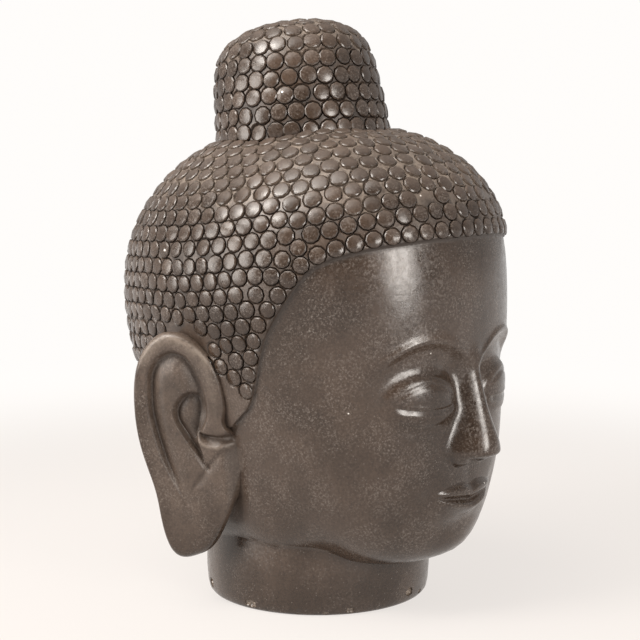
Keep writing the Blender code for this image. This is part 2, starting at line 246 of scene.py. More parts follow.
def mouthRelief(x, z):
    # two full lips on a gentle swelling, and a soft hollow above and below them
    relief = 3.8 * hill(x, z, (0, mouthLevel - 1), (32, 20))
    relief -= 0.4 * hill(x, z, (0, noseBase - 7), (4.5, 6))
    line = mouthLevel - 0.8 * np.exp(-((x / 5.0) ** 2)) + 3.2 * (x / 27) ** 2
    rise = z - line
    reach = np.clip(1 - (x / 27) ** 2, 0, 1)
    top = 8.8 * reach**0.75 - 1.3 * np.exp(-((x / 3.6) ** 2)) + 0.01
    bottom = 9.6 * np.clip(1 - (x / 23.5) ** 2, 0, 1) ** 0.65 + 0.01
    upper = ease(top - rise, -0.9, 3.4) * ease(rise, -0.6, 3.4)
    lower = ease(bottom + rise, -1.2, 6.5) * ease(-rise, -0.6, 3.8)
    relief += 2.9 * upper * reach**0.5 + 4.4 * lower * np.clip(1 - (x / 24.5) ** 2, 0, 1) ** 0.5
    relief -= 0.5 * np.exp(-((rise / 1.0) ** 2)) * ease(28 - x, 0, 8)
    relief -= 1.2 * hill(x, z, (28.5, mouthLevel + 3.4), (4.5, 5))
    return relief - 2.4 * hill(x, z, (0, mouthLevel - 14.5), (17, 4.8))


def faceRelief(x, z):
    x = np.abs(x)
    under = browArch(x) - z  # depth below the brow's edge
    side = ease(-x, -66, -44)
    relief = -4.2 * ease(under, -0.5, 7) * ease(-under, -36, -12) * side  # sockets
    relief -= 3.2 * hill(x, z, (15.5, eyeLevel + 5), (7.5, 11))
    relief += 1.1 * np.exp(-(((under + 1.2) / 2.0) ** 2)) * side  # brow line
    relief += 2.4 * hill(x, z, (45, noseBase + 3), (24, 25))  # cheeks
    relief = noseRelief(x, z, eyeRelief(x, z, relief))
    return relief + mouthRelief(x, z) + 3.4 * hill(x, z, (0, chin + 12), (15, 10))


def headPoints(ways):
    points = skullPoints(ways)
    points += ways * (hair["step"] * ease(intoHair(points), -hair["edge"], hair["edge"]))[:, None]
    facing = ease(-points[:, 1], 35, 62) * ease(points[:, 2], chin - 4, chin + 8)
    points[:, 1] -= faceRelief(points[:, 0], points[:, 2]) * facing
    return points


def pointsOf(mesh):
    points = np.empty(len(mesh.vertices) * 3, np.float32)
    mesh.vertices.foreach_get("co", points)
    return points.reshape(-1, 3).astype(float)


def newObject(name, bm):
    mesh = bpy.data.meshes.new(name)
    bm.to_mesh(mesh)
    bm.free()
    made = bpy.data.objects.new(name, mesh)
    bpy.context.scene.collection.objects.link(made)
    return made


def applyModifiers(target):
    view = bpy.context.evaluated_depsgraph_get()
    mesh = bpy.data.meshes.new_from_object(target.evaluated_get(view))
    target.modifiers.clear()
    target.data = mesh


def finerSteps(places):
    # how many times each place's triangles are halved: more on the face, most on its features
    x, y, z = np.abs(places[:, 0]), places[:, 1], places[:, 2]
    front = (y < -25) & (z < hair["middle"] + 5)
    features = (y < -58) & (x < 58) & (z > mouthLevel - 22) & (z < brow + 12)
    edge = np.abs(intoHair(places))
    eyes = hill(x, z, (face["eyeMiddle"], eyeLevel - 2), (22, 15)) > 0.36
    nose = hill(x, z, (0, noseBase + 14), (23, 30)) > 0.36
    lips = hill(x, z, (0, mouthLevel), (31, 14)) > 0.36
    browLine = np.abs(browArch(x) - z + 1) < 4
    lids = (np.abs(z - eyeLevel + 6) < 3.5) & (np.abs(x - face["eyeMiddle"]) < 19)
    nostrils = (x < 21) & (np.abs(z - noseBase - 2) < 7)
    mouth = hill(x, z, (0, mouthLevel), (29, 11)) > 0.36
    plain = front | (z < 82) | (edge < 11)
    closer = features | ((edge < 5) & (y < 35))
    fine = features & (eyes | nose | lips | browLine)
    finest = features & (lids | nostrils | mouth)
    return sum(zone.astype(int) for zone in (plain, closer, fine, finest))


def splitAlong(bm, field, level):
    # cuts the mesh along the line where field is level, so that an edge can follow it
    bm.verts.index_update()
    values = field(np.array([v.co for v in bm.verts])) - level
    crossing, share = [], {}
    for edge in bm.edges:
        one, two = (values[v.index] for v in edge.verts)
        if one * two < 0:
            crossing.append(edge)
            share[edge] = min(0.95, max(0.05, one / (one - two)))
    made = bmesh.ops.bisect_edges(bm, edges=crossing, cuts=1, edge_percents=share)
    verts = [g for g in made["geom_split"] if isinstance(g, bmesh.types.BMVert)]
    bmesh.ops.connect_verts(bm, verts=verts, check_degenerate=True)
    bmesh.ops.triangulate(bm, faces=[f for f in bm.faces if len(f.verts) > 3])


def makeSkull():
    bm = bmesh.new()
    bmesh.ops.create_icosphere(bm, subdivisions=5, radius=1)
    for level in (1, 2, 3, 4):
        bm.verts.index_update()
        steps = finerSteps(skullPoints(np.array([v.co for v in bm.verts])))
        edges = [e for e in bm.edges if min(steps[v.index] for v in e.verts) >= level]
        bmesh.ops.subdivide_edges(bm, edges=edges, cuts=1, use_grid_fill=True)
        bmesh.ops.triangulate(bm, faces=[f for f in bm.faces if len(f.verts) > 3])
        for vertex in bm.verts:
            vertex.co.normalize()
    for level in (-hair["edge"], 0, hair["edge"]):
        splitAlong(bm, lambda ways: intoHair(skullPoints(ways)), level)
    made = newObject("skull", bm)
    ways = pointsOf(made.data)
    ways /= np.linalg.norm(ways, axis=1)[:, None]
    made.data.vertices.foreach_set("co", headPoints(ways).astype(np.float32).ravel())
    return made


ear = {
    "root": 76,  # the front edge's distance from the head's middle, at the height "level"
    "level": 80,
    "lean": 0.165,
    "setback": 8,
    "flare": math.radians(25),
    "middle": (25.6, 94.3),
    "thick": 4.5,
    "notch": 4.4,  # how far the front edge runs back, above the scoop
    "sink": 7.5,  # how far its front edge sinks into the cheek, between the scoop and the lobe
    "share": 0.13,  # of its first, very fine mesh that is kept
    "size": 1.02,
    # distance from the middle every 20 degrees, from straight back, down round the lobe, forward
    # and over the top; the ear is half as wide as it is tall, so distances forward count double
    "outline": (
        54.3, 50.8, 55, 69, 64, 58.4, 53.6, 52.3, 55.8,
        57.3, 52, 58, 59.4, 59.4, 60.9, 61.8, 61.6, 58.1,
    ),
    "fold": [
        (17.4, 103.6), (14.3, 109.5), (13.2, 118), (14.5, 127.4), (17.1, 135.4), (21.7, 142.3),
        (27.9, 144.1), (34.8, 140.9), (39.9, 134.4), (42.4, 123.4), (43.2, 111.5), (41.7, 98.6),
        (39.5, 87.6), (36.2, 77.6), (32.7, 68.4), (29.4, 61),
    ],
    "bowl": [
        (15.0, 123.6), (20.5, 123.7), (26.1, 120.5), (30.1, 114.9), (30.8, 108.4), (28.1, 102.1),
        (24.4, 95), (19.8, 87.8), (15.8, 81.6), (17.2, 90), (18.4, 96), (17.6, 103), (14.2, 111),
        (13, 118),
    ],
    "scoop": [
        (18.2, 102.3), (14.4, 101.2), (8.9, 100.6), (3.2, 101.4), (-2.5, 103.4), (-1.4, 98.6),
        (5.0, 95.3), (12.0, 94.6), (16.9, 97),
    ],
    "crease": [(5.8, 92.4), (11.6, 86.5), (16.3, 81.3), (20.3, 76.1), (25.5, 69)],
}
earEdge = makeCurve(np.arange(-220, 221, 20), [ear["outline"][i % 18] for i in range(-2, 21)])


def earRelief(u, v):
    # cut steeply on the rim's side of each line and gently on the other
    off = fromLine(u, v, smoothLine(ear["fold"]))
    depth = 0.6 + 3.6 * ease(v, 58, 92)
    gentle = 1.6 + 3.4 * ease(v, 60, 100)
    relief = -depth * np.where(off > 0, np.exp(-((off / 1.3) ** 2)), np.exp(-np.abs(off / gentle) ** 1.6))
    bowl = smoothLine(ear["bowl"], closed=True)
    inside = intoShape(u, v, bowl)
    fromBack = fromLine(u, v, bowl[: len(bowl) * 9 // 15])
    back = np.abs(fromBack)
    deep = 2.5 + 2.3 * np.exp(-((back / 3.4) ** 2)) + 1.4 * hill(u, v, (15.8, 113), (2.8, 8))
    edge = 0.8 + 2.4 * ease(21 - u, 0, 5) * ease(v, 92, 104)
    relief -= deep * ease(inside, -0.6, 0.8 + edge) * ease(v, 80, 92)
    relief -= 1.6 * np.exp(-((fromBack / 1.3) ** 2)) * ease(94 - v, 0, 8)
    relief += 0.7 * hill(u, v, (35.5, 112), (3.2, 26)) + 0.5 * hill(u, v, (26, 133), (5, 4))
    inside = intoShape(u, v, smoothLine(ear["scoop"], closed=True))
    relief -= 4.6 * ease(inside, -0.6, 2.0) * (0.35 + 0.65 * ease(v, 95, 100.5))
    relief += 0.45 * np.exp(-(((inside + 1.1) / 1.0) ** 2)) * ease(99 - v, 0, 2)
    off = fromLine(u, v, smoothLine(ear["crease"]))
    crease = np.exp(-((off / np.where(off > 0, 0.9, 3.0)) ** 2))
    relief -= 1.0 * crease * ease(v, 69, 74) * ease(94 - v, 0, 5)
    return relief


def earPlace(points):
    # distance behind the front edge, height, and height over the ear's plate
    out = np.abs(points[:, 0]) - ear["root"] - (points[:, 2] - ear["level"]) * ear["lean"]
    back = points[:, 1] + ear["setback"]
    sine, cosine = math.sin(ear["flare"]), math.cos(ear["flare"])
    return out * sine + back * cosine, points[:, 2], out * cosine - back * sine


def makeEar(side):
    # a ball pressed flat: its near half becomes the ear's face and its far half the wedge behind it
    bm = bmesh.new()
    bmesh.ops.create_uvsphere(bm, u_segments=280, v_segments=140, radius=1)
    bmesh.ops.triangulate(bm, faces=bm.faces)
    made = newObject("ear", bm)
    ball = pointsOf(made.data)
    turn = np.arctan2(ball[:, 1], -ball[:, 0])
    ring = np.arccos(np.clip(np.abs(ball[:, 2]), 0, 1)) * 2 / np.pi
    ring[np.abs(ball[:, 2]) < 1e-4] = 1
    reach = ring * ear["size"] * earEdge(np.degrees(turn))
    u = ear["middle"][0] - reach * np.cos(turn) / 2
    v = ear["middle"][1] + reach * np.sin(turn)
    u += ear["notch"] * hill(u, v, (-2, 107), (6, 6.5))
    rim = np.sqrt(np.clip(1 - (np.clip(ring - 0.93, 0, 1) / 0.07) ** 2, 0, 1))
    intoCheek = ear["sink"] * ease(8 - u, 0, 12) * ease(v, 57, 68) * ease(103 - v, 0, 7)
    faceOf = ear["thick"] * rim + earRelief(u, v) * ease(0.995 - ring, 0, 0.04) - intoCheek
    wedge = 17 * ease(40 - u, 0, 34) * ease(v, 62, 92)
    w = np.where(ball[:, 2] >= 0, faceOf, -(4.5 + wedge) * rim)
    w[ring == 1] = -intoCheek[ring == 1]
    root = ear["root"] + (v - ear["level"]) * ear["lean"]
    x = root + u * math.sin(ear["flare"]) + w * math.cos(ear["flare"])
    y = -ear["setback"] + u * math.cos(ear["flare"]) - w * math.sin(ear["flare"])
    made.data.vertices.foreach_set("co", np.stack([side * x, y, v], 1).astype(np.float32).ravel())
    made.modifiers.new("fewer", "DECIMATE").ratio = ear["share"]
    applyModifiers(made)
    bm = bmesh.new()
    bm.from_mesh(made.data)
    bmesh.ops.recalc_face_normals(bm, faces=bm.faces)
    bm.to_mesh(made.data)
    bm.free()
    return made


topknot = {
    "base": (0, 10, 252),
    "lean": math.radians(10),
    "foot": 14,  # distance up its side from the start of its profile to the skull
    "crease": (15.25, 4.25),  # where it meets the hair, up its side, and how much lower that is in front
    "profile": [
        (48.5, -14), (48.4, 0), (47.9, 14), (46.5, 30), (45, 41), (42.6, 50), (38, 57.4),
        (30.5, 63), (20, 66.6), (9, 68.2), (0, 68.5),
    ],
}
neck = {
    "radius": 63.2,
    "top": 64,
    "row": 1.2,
    "chips": [  # azimuth, height, width and depth of each
        (-86, 3.5, 3.4, 2.2), (-60, 1.2, 1.7, 1.4), (-46, 1, 2.2, 1.6), (-34, 2.2, 2.7, 1.9),
        (3, 6.2, 3.2, 2), (15, 3, 2, 1.5), (-122, 6, 3.8, 2.5), (75, 3, 3.2, 2),
        (140, 2.4, 3.6, 2.2), (-160, 1.5, 2.6, 1.7),
    ],
    "profile": [  # radius more than the neck's, height
        (-3.6, 0), (-1.6, 0.5), (-0.6, 1.8), (0.1, 5), (0.8, 14), (0.8, 22), (0.5, 30), (-0.2, 39),
        (-1.4, 48), (-3.5, 56), (-6, 64),
    ],
}


def spun(name, profile, segments):
    bm = bmesh.new()
    line = [bm.verts.new((r, 0, z)) for r, z in profile]
    edges = [bm.edges.new(pair) for pair in zip(line, line[1:])]
    middle, up = (0, 0, 0), (0, 0, 1)
    bmesh.ops.spin(
        bm, geom=line + edges, cent=middle, axis=up, angle=2 * math.pi, steps=segments, use_merge=True
    )
    bmesh.ops.remove_doubles(bm, verts=bm.verts, dist=0.01)
    bmesh.ops.recalc_face_normals(bm, faces=bm.faces)
    bmesh.ops.triangulate(bm, faces=bm.faces)
    return newObject(name, bm)


knotPlace = Matrix.Translation(topknot["base"]) @ Matrix.Rotation(-topknot["lean"], 4, "X")
knotRadii, knotHeights = np.array(topknot["profile"]).T
knotArc = np.concatenate([[0], np.cumsum(np.hypot(np.diff(knotRadii), np.diff(knotHeights)))])
knotRadius, knotHeight = makeCurve(knotArc, knotRadii), makeCurve(knotArc, knotHeights)


def knotPoint(arc, turn):
    # a place on the topknot and the way out from it, by distance up its side and turn from the front
    slopeR = knotRadius(arc + 0.1) - knotRadius(arc - 0.1)
    slopeZ = knotHeight(arc + 0.1) - knotHeight(arc - 0.1)
    away = np.array([math.sin(turn), -math.cos(turn)])
    place = Vector((*(away * knotRadius(arc)), knotHeight(arc)))
    out = Vector((*(away * slopeZ), -slopeR)).normalized()
    return knotPlace @ place, knotPlace.to_3x3() @ out


def makeTopknot():
    along = np.linspace(0, knotArc[-1], 26)
    profile = [(max(0.0, float(knotRadius(a))), float(knotHeight(a))) for a in along[:-1]]
    foot, top = (0, topknot["profile"][0][1]), topknot["profile"][-1]
    made = spun("topknot", [foot] + profile + [top], 60)
    made.data.transform(knotPlace)
    return made


def makeNeck():
    # in close rows where the jaw meets it
    outs, heights = np.array(neck["profile"]).T
    close = np.arange(24, 50, neck["row"])
    levels = np.concatenate([heights[heights < 24], close, heights[heights > 50]])
    outAt = makeCurve(heights, outs)
    profile = [(neck["radius"] + float(outAt(level)), float(level)) for level in levels]
    return spun("neck", [(0, 0)] + profile + [(0, neck["top"])], 180)


def makeChips():
    # broken flakes along the neck's lower edge
    bm = bmesh.new()
    for azimuth, height, width, depth in neck["chips"]:
        made = bmesh.ops.create_icosphere(bm, subdivisions=3, radius=1)["verts"]
        for vertex in made:
            x, y, z = vertex.co
            uneven = 1 + 0.12 * math.sin(7 * x + azimuth) + 0.1 * math.sin(9 * z + 2 * azimuth)
            vertex.co = Vector((x * width, y * depth, z * width * 0.8)) * uneven
        turn = Matrix.Rotation(math.radians(azimuth), 4, "Z")
        place = turn @ Matrix.Translation((0, -neck["radius"], height))
        bmesh.ops.transform(bm, matrix=place, verts=made)
    return newObject("chips", bm)


def combine(target, operation, tool):
    modifier = target.modifiers.new("join", "BOOLEAN")
    modifier.operation = operation
    modifier.solver = "MANIFOLD"
    modifier.object = tool
    applyModifiers(target)
    bpy.data.objects.remove(tool)


head = makeSkull()
report(f"skull, {len(head.data.polygons)} faces")
ears = [makeEar(side) for side in (-1, 1)]
earTree = BVHTree.FromObject(ears[0], bpy.context.evaluated_depsgraph_get())
for part in ears + [makeTopknot(), makeNeck()]:
    combine(head, "UNION", part)
combine(head, "DIFFERENCE", makeChips())
report(f"head with ears, topknot and neck, {len(head.data.polygons)} faces")

disc = {
    "radius": 4.3,
    "crownRadius": 4.55,
    "knotRadius": 4.6,
    "pitch": 9.45,
    "row": 8.55,
    "rings": 32,
    "firstRing": 0.475,  # angle from the topknot's axis to the first ring
    "ringReach": 108,  # the skull's rough radius, which spaces the rings
    "hairlineRows": [(4.9, 5), (12.9, 9)],  # distance in from the hair's edge, and room left at each end
    "clear": 4.9,  # from a disc's middle to the hair's edge and to the topknot
    "earClear": 4.0,
    "push": 0.28,  # share of a gap's lack that neighbours make up in one round
    "knotPitch": 9.6,
    "knotRow": 9.0,
    "knotFoot": 5.4,  # the lowest row's distance above the crease
    "rise": 1.15,  # of its middle above the ground between discs
    "edge": [(0, 0.08), (0.55, 0.54)],  # its bevelled edge: distance in from its side, height
    "groove": 1.1,  # width of the groove round it, at the top
    "depth": 1.5,
    "undercut": 0.1,  # how far inside the disc's side the groove's floor begins
    "root": 2,  # how far the disc itself goes down
    "lowest": 126,  # no discs on the hair in front of the ears below this height
    "unevenness": 1.1,  # of the first places, before neighbours push each other apart
    "lean": 0.058,
    "sizes": (0.95, 1.045),
    "sides": 10,
    "mostTriangles": 190000,  # that the hair is thinned towards, counting the whole head
    "seed": 5,
}
chance = random.Random(disc["seed"])
noise = np.random.default_rng(disc["seed"])


def direction(turn, rise):
    # turn is from the front, towards +x
    flat = np.cos(rise)
    return np.stack([np.sin(turn) * flat, -np.cos(turn) * flat, np.sin(rise)], -1)


def raised(way):
    points = skullPoints(way)
    return points + way * hair["step"]


def fromKnot(points):
    # distance from the topknot's side, measured square to its axis
    local = (points - np.array(knotPlace.translation)) @ np.array(knotPlace.to_3x3())
    return np.hypot(local[:, 0], local[:, 1]) - topknot["profile"][0][0]


def solveRise(turns, value, level, low, high):
    # the rise at each turn where value(points) reaches level
    low, high = np.full(len(turns), low), np.full(len(turns), high)
    for _ in range(40):
        middle = (low + high) / 2
        over = value(raised(direction(turns, middle))) > level
        low, high = np.where(over, low, middle), np.where(over, middle, high)
    return middle


def spread(points, pitch, start):
    # evenly spaced members of a close line of points
    along = np.concatenate([[0], np.cumsum(np.linalg.norm(np.diff(points, axis=0), axis=1))])
    count = round((along[-1] - 2 * start) / pitch)
    wanted = np.linspace(start, along[-1] - start, count + 1)
    return points[np.searchsorted(along, wanted).clip(0, len(points) - 1)]


def hairlineRow(level, start):
    turns = np.radians(np.linspace(-86, 86, 3000))
    points = raised(direction(turns, solveRise(turns, intoHair, level, -0.6, 1.3)))
    return spread(points, disc["pitch"] * 1.03, start)


def knotRings():
    # rows of places round the topknot, one below the other down to the nape
    pole = Vector(topknot["base"]) - Vector((0, 0, skull["middle"]))
    tip = np.array(pole.normalized().to_track_quat("Z", "Y").to_matrix())
    rows = []
    for k in range(disc["rings"]):
        polar = disc["firstRing"] + k * disc["row"] / disc["ringReach"]
        ringRadius = disc["ringReach"] * math.sin(min(polar, 1.75))
        count = round(2 * math.pi * ringRadius / disc["pitch"])
        turns = (np.arange(count) + 0.5 * (k % 2)) * 2 * math.pi / count + 0.02 * k
        flat, up = np.sin(polar), np.full(count, np.cos(polar))
        ways = np.stack([flat * np.sin(turns), -flat * np.cos(turns), up], 1)
        rows.append(raised(ways @ tip.T))
    return np.concatenate(rows)


def toSkull(points):
    ways = points - (0, 0, skull["middle"])
    return raised(ways / np.linalg.norm(ways, axis=1)[:, None])


def hairSlope(points):
    # the way into the hair at each point
    step = 0.5
    moves = [intoHair(points + step * axis) - intoHair(points - step * axis) for axis in np.eye(3)]
    slope = np.stack(moves, 1)
    return slope / np.maximum(np.linalg.norm(slope, axis=1)[:, None], 1e-6)


def fromEars(points):
    # distance from the nearer ear and the way out from it
    mirrored = np.abs(points[:, 0])
    distance, away = np.empty(len(points)), np.zeros((len(points), 3))
    for i, (x, (_, y, z)) in enumerate(zip(mirrored, points)):
        spot, _, _, gap = earTree.find_nearest((-x, y, z))
        distance[i] = gap
        way = np.array([-x - spot[0], y - spot[1], z - spot[2]])
        if points[i, 0] > 0:
            way[0] = -way[0]
        away[i] = way / max(gap, 1e-6)
    return distance, away


def settle(points, fixed, rounds):
    # neighbours push each other apart, and the hairline, topknot and ears push them back
    reach = disc["pitch"] * 1.08
    for turn in range(rounds):
        everyone = np.concatenate([fixed, points])
        apart = points[:, None] - everyone[None]
        gap = np.linalg.norm(apart, axis=2)
        gap[np.arange(len(points)), np.arange(len(points)) + len(fixed)] = 1e9
        push = np.where(gap < reach, (reach - gap) / np.maximum(gap, 1e-6), 0) * disc["push"]
        points = points + (apart * push[:, :, None]).sum(1)
        inside = intoHair(points)
        points += hairSlope(points) * np.maximum(disc["clear"] - inside, 0)[:, None]
        knotGap = fromKnot(points)
        outward = points - np.array(knotPlace.translation)
        outward[:, 2] = 0
        outward /= np.linalg.norm(outward, axis=1)[:, None]
        onTop = points[:, 2] > 200
        points += outward * (np.maximum(disc["clear"] - knotGap, 0) * onTop)[:, None]
        if turn % 6 == 5:
            earGap, away = fromEars(points)
            points += away * np.maximum(disc["earClear"] - earGap, 0)[:, None]
        points = toSkull(points)
    return points


def allowed(points):
    earGap, _ = fromEars(points)
    behind = (np.abs(points[:, 0]) > 60) & (earGap < 3.6)
    sideburn = (points[:, 1] < 8) & (points[:, 2] < disc["lowest"])
    offKnot = (fromKnot(points) > 4.3) | (points[:, 2] < 200)
    return (intoHair(points) > 4.5) & offKnot & ~behind & ~sideburn


def placeHair():
    first, second = (hairlineRow(*row) for row in disc["hairlineRows"])
    first, second = first[allowed(first)], second[allowed(second)]
    rings = knotRings()
    rings = rings[(intoHair(rings) > 5) & allowed(rings)]
    rim = np.concatenate([first, second])
    far = np.linalg.norm(rings[:, None] - rim[None], axis=2).min(1) > disc["pitch"] * 0.74
    free = np.concatenate([second, rings[far]])
    free += noise.normal(0, disc["unevenness"], free.shape)
    free = settle(free, first, 60)
    spare = skullSpots(16000)
    spare = spare[(intoHair(spare) > 5) & allowed(spare)]
    for _ in range(3):
        everyone = np.concatenate([first, free])
        room = np.array([np.linalg.norm(everyone - spot, axis=1).min() for spot in spare])
        added = []
        for i in np.argsort(-room):
            if room[i] < disc["pitch"] * 0.82:
                break
            if all(np.linalg.norm(spare[i] - spot) > disc["pitch"] * 0.9 for spot in added):
                added.append(spare[i])
        if not added:
            break
        free = settle(np.concatenate([free, added]), first, 14)
    free = free[allowed(free)]
    everyone = list(first)
    for spot in free:
        if min(np.linalg.norm(spot - other) for other in everyone) > disc["radius"] * 1.9:
            everyone.append(spot)
    return np.array(everyone)


def skullSpots(count):
    k = np.arange(count) + 0.5
    rise = np.arcsin(1 - 2 * k / count)
    return raised(direction(k * math.pi * (3 - math.sqrt(5)), rise))


def outward(points):
    # square to the skull at each point
    ways = points - (0, 0, skull["middle"])
    ways /= np.linalg.norm(ways, axis=1)[:, None]
    sideways = np.cross(ways, (0, 0, 1))
    sideways /= np.linalg.norm(sideways, axis=1)[:, None]
    upward = np.cross(sideways, ways)
    step = 0.01
    length = math.hypot(1, step)
    one = raised((ways + step * sideways) / length) - raised((ways - step * sideways) / length)
    two = raised((ways + step * upward) / length) - raised((ways - step * upward) / length)
    normal = np.cross(two, one)
    return normal / np.linalg.norm(normal, axis=1)[:, None]


def placeKnot():
    # rows from the crease up to one disc on top
    spots = []
    whole, foot = float(knotArc[-1]), topknot["foot"]
    creaseMiddle, creaseFall = topknot["crease"]
    rows = round((whole - foot - disc["knotRow"] * 0.6) / disc["knotRow"])
    for row in range(rows + 1):
        sample = knotRadius(foot + (whole - foot) * (row + 0.6) / (rows + 0.6)) if row < rows else 0
        count = max(1, round(2 * math.pi * float(sample) / disc["knotPitch"]))
        for k in range(count):
            turn = 2 * math.pi * (k + 0.5 * (row % 2)) / count + chance.uniform(-0.018, 0.018)
            crease = creaseMiddle - creaseFall * math.cos(turn)
            rise = (whole - crease - disc["knotFoot"]) * row / rows
            arc = crease + disc["knotFoot"] + rise + chance.uniform(-0.6, 0.6)
            spots.append(knotPoint(min(arc, whole - 0.05), turn))
    return spots


def turnedTile(name, profile):
    made = spun(name, profile, disc["sides"])
    mesh = made.data
    bpy.data.objects.remove(made)
    return mesh


def stamp(name, tile, places):
    bm = bmesh.new()
    for place in places:
        copy = tile.copy()
        copy.transform(place)
        bm.from_mesh(copy)
        bpy.data.meshes.remove(copy)
    return newObject(name, bm)


def standing(spot, out, size):
    # a disc's place: its middle on the surface, its axis straight out, give or take a little
    lean = Vector([chance.gauss(0, disc["lean"]) for _ in range(3)])
    turn = (Vector(out) + lean).to_track_quat("Z", "Y").to_matrix().to_4x4()
    spin = Matrix.Rotation(chance.uniform(0, math.tau / disc["sides"]), 4, "Z")
    return Matrix.Translation(spot) @ turn @ spin @ Matrix.Scale(size * chance.uniform(*disc["sizes"]), 4)


def groups(spots, reach):
    # sorts spots into as few lots as keep those within reach apart
    lots = []
    for i, spot in enumerate(spots):
        taken = {lots[j] for j in range(i) if (spots[j] - spot).length < reach}
        lots.append(min(set(range(len(taken) + 1)) - taken))
    return lots


def carve(name, operation, tile, reach):
    # in lots whose tiles keep clear of each other
    lots = groups([place.translation for place in places], reach)
    for lot in range(max(lots) + 1):
        chosen = [place for place, own in zip(places, lots) if own == lot]
        combine(head, operation, stamp(name, tile, chosen))


def triangles(mesh):
    return sum(len(face.vertices) - 2 for face in mesh.polygons)


def onHair(points, inward):
    # on the topknot, or on the hair and at least so far in from its edge
    u, v, lift = earPlace(points)
    onEar = (lift > -3) & (u > -4) & (u < 48) & (v < 151)
    return ((intoHair(points) > inward) | (points[:, 2] > 255)) & ~onEar


def thinHair(target):
    # carving leaves many slivers on the ground between discs; skin, ears and neck aren't thinned
    hairy = np.flatnonzero(onHair(pointsOf(target.data), 1.5))
    target.vertex_groups.new(name="hair").add(hairy.tolist(), 1, "REPLACE")
    modifier = target.modifiers.new("fewer", "DECIMATE")
    modifier.ratio = disc["mostTriangles"] / triangles(target.data)
    modifier.vertex_group = "hair"
    applyModifiers(target)
    target.vertex_groups.clear()


def dropLoose(mesh):
    # sealed hollows between ear and skull, and any crumb, go; the block itself stays
    work = bmesh.new()
    work.from_mesh(mesh)
    parts, seen = [], set()
    for start in work.verts:
        if start in seen:
            continue
        seen.add(start)
        part, waiting = [], [start]
        while waiting:
            vert = waiting.pop()
            part.append(vert)
            for edge in vert.link_edges:
                other = edge.other_vert(vert)
                if other not in seen:
                    seen.add(other)
                    waiting.append(other)
        parts.append(part)
    parts.sort(key=len)
    sizes = [len(part) for part in parts[:-1]]
    bmesh.ops.delete(work, geom=[vert for part in parts[:-1] for vert in part], context="VERTS")
    work.to_mesh(mesh)
    work.free()
    return sizes


hairSpots = placeHair()
report(f"{len(hairSpots)} hair discs placed")
onCrown = (disc["crownRadius"] / disc["radius"] - 1) * ease(hairSpots[:, 2], 190, 245)
spots = [(Vector(p), Vector(o), 1 + more) for p, o, more in zip(hairSpots, outward(hairSpots), onCrown)]
spots += [(p, o, disc["knotRadius"] / disc["radius"]) for p, o in placeKnot()]
places = [standing(*spot) for spot in spots]
radius, groove, depth = disc["radius"], disc["groove"], disc["depth"]
brim = radius + groove + 0.5
pitSide = [(radius - disc["undercut"], -depth), (radius + groove, 0), (brim, 1.6)]
discSide = [(radius - inward, height) for inward, height in disc["edge"]]
pitTile = turnedTile("pit", [(0, -depth)] + pitSide + [(0, 1.6)])
discRoot = [(0, -disc["root"]), (radius, -disc["root"])]
discTile = turnedTile("disc", discRoot + discSide + [(0, disc["rise"])])
carve("pits", "DIFFERENCE", pitTile, 2 * brim * 1.16)
carve("discs", "UNION", discTile, 2 * radius * 1.02)
report(f"{len(places)} discs carved, {triangles(head.data)} triangles")
thinHair(head)
loose = dropLoose(head.data)
report(f"hair thinned to {triangles(head.data)} triangles, loose parts of {loose} points dropped")

head.name = "carved_head"


def nearestDisc(points):
    middles = np.array([place.translation for place in places], np.float32)
    nearest = np.empty(len(points), int)
    for first in range(0, len(points), 4000):
        some = points[first : first + 4000].astype(np.float32)
        gap = ((some[:, None] - middles[None]) ** 2).sum(2)
        nearest[first : first + 4000] = gap.argmin(1)
    return nearest


def earWearAndHighlights(u, v):
    # pale marks on the ear's upper edge and under its scoop: worn stone, and painted highlights along these
    # rims
    forward, above = 2 * (ear["middle"][0] - u), v - ear["middle"][1]
    ring = np.hypot(forward, above) / (ear["size"] * earEdge(np.degrees(np.arctan2(above, forward))))
    upperEdge = 0.6 * np.exp(-(((ring - 0.95) / 0.03) ** 2)) * ease(v, 134, 143)
    scoop = intoShape(u, v, smoothLine(ear["scoop"], closed=True))
    return upperEdge + 0.45 * np.exp(-(((scoop + 0.9) / 0.8) ** 2)) * ease(100 - v, 0, 2)


def wornNeck(points):
    # the fresh stone inside each chip
    outs, heights = np.array(neck["profile"]).T
    skin = neck["radius"] + np.interp(points[:, 2], heights, outs)
    low = (points[:, 2] > 0.2) & (points[:, 2] < 12)
    return 0.9 * ease(skin - np.hypot(points[:, 0], points[:, 1]), 0.25, 0.8) * low


